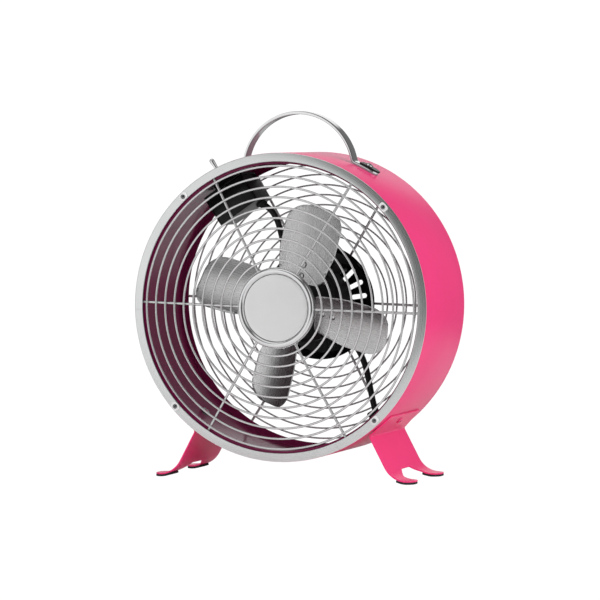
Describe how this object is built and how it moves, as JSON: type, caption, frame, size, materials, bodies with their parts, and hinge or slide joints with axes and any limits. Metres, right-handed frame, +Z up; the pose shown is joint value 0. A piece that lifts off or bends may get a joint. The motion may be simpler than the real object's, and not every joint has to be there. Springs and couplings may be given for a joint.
{
  "type": "desk fan",
  "caption": "Retro drum desk fan: round sheet-metal drum on two splayed feet, wire guards front and back, aluminium blades, chrome bail handle and toggle switch.",
  "frame": {"origin": "on the floor, under the middle of the whole fan", "axes": "+Z up, the fan axis along Y, the fan blows towards -Y, +X to the right seen from the front"},
  "size_m": [0.256, 0.1248, 0.3064],
  "materials": {
    "pink_enamel": "gloss",
    "satin_trim": "satin",
    "chrome_wire": "polished",
    "rear_wire": "satin",
    "chrome": "polished",
    "satin_disc": "satin",
    "screw_steel": "satin",
    "pink_screw": "gloss",
    "black_plastic": "matte",
    "motor_black": "satin",
    "lamination": "matte",
    "copper": "varnished",
    "bronze": "satin",
    "shaft_steel": "ground",
    "blade_aluminium": "brushed",
    "spider_aluminium": "satin",
    "rivet_aluminium": "satin",
    "lead_sheath": "matte",
    "black_rubber": "matte"
  },
  "bodies": {
    "fan_frame": {"drum_shell": "pink_enamel", "foot_nuts": "screw_steel", "foot_screws": "pink_screw", "front_bearing": "bronze", "front_guard_hoop": "chrome_wire", "front_guard_rings": "chrome_wire", "front_guard_spokes": "chrome_wire", "front_trim_ring": "satin_trim", "handle": "chrome", "handle_nuts": "screw_steel", "handle_saddles": "black_plastic", "handle_screws": "screw_steel", "hub_back_plate": "screw_steel", "hub_disc": "satin_disc", "hub_rim": "chrome", "hub_screw": "screw_steel", "left_foot": "pink_enamel", "left_foot_pads": "black_rubber", "mains_gland": "black_plastic", "mains_lead": "lead_sheath", "motor_cup": "black_plastic", "motor_cup_screws": "screw_steel", "motor_front_shell": "motor_black", "motor_posts": "motor_black", "motor_rear_shell": "motor_black", "motor_tie_screws": "screw_steel", "rear_bearing": "bronze", "rear_guard_hoop": "rear_wire", "rear_guard_rings": "rear_wire", "rear_guard_spokes": "rear_wire", "right_foot": "pink_enamel", "right_foot_pads": "black_rubber", "ring_clip_screws": "screw_steel", "ring_clips": "screw_steel", "stator_coils": "copper", "stator_core": "lamination", "switch_body": "black_plastic", "switch_box": "black_plastic", "switch_box_lid": "black_plastic", "switch_bushing": "chrome", "switch_lead": "lead_sheath", "switch_lead_grommet": "black_plastic", "switch_nut": "chrome", "switch_saddle": "black_plastic", "switch_washer": "chrome"},
    "rotor": {"blade_1": "blade_aluminium", "blade_2": "blade_aluminium", "blade_3": "blade_aluminium", "blade_4": "blade_aluminium", "blade_spider": "spider_aluminium", "blade_rivets": "rivet_aluminium", "rotor_boss": "spider_aluminium", "rotor_boss_screw": "screw_steel", "shaft_nut": "screw_steel", "motor_shaft": "shaft_steel", "armature": "lamination"},
    "switch_lever": {"speed_lever": "chrome"}
  },
  "joints": [
    {"name": "fan_spin", "type": "hinge", "parent": "fan_frame", "child": "rotor", "pos_m": [0, -0.01782, 0.144], "axis": [0, -1, 0], "continuous": true},
    {"name": "speed_switch", "type": "hinge", "parent": "fan_frame", "child": "switch_lever", "pos_m": [-0.07213, 0.00718, 0.24974], "axis": [-0.8261, 0, -0.5635], "range_deg": [-13, 13]}
  ]
}
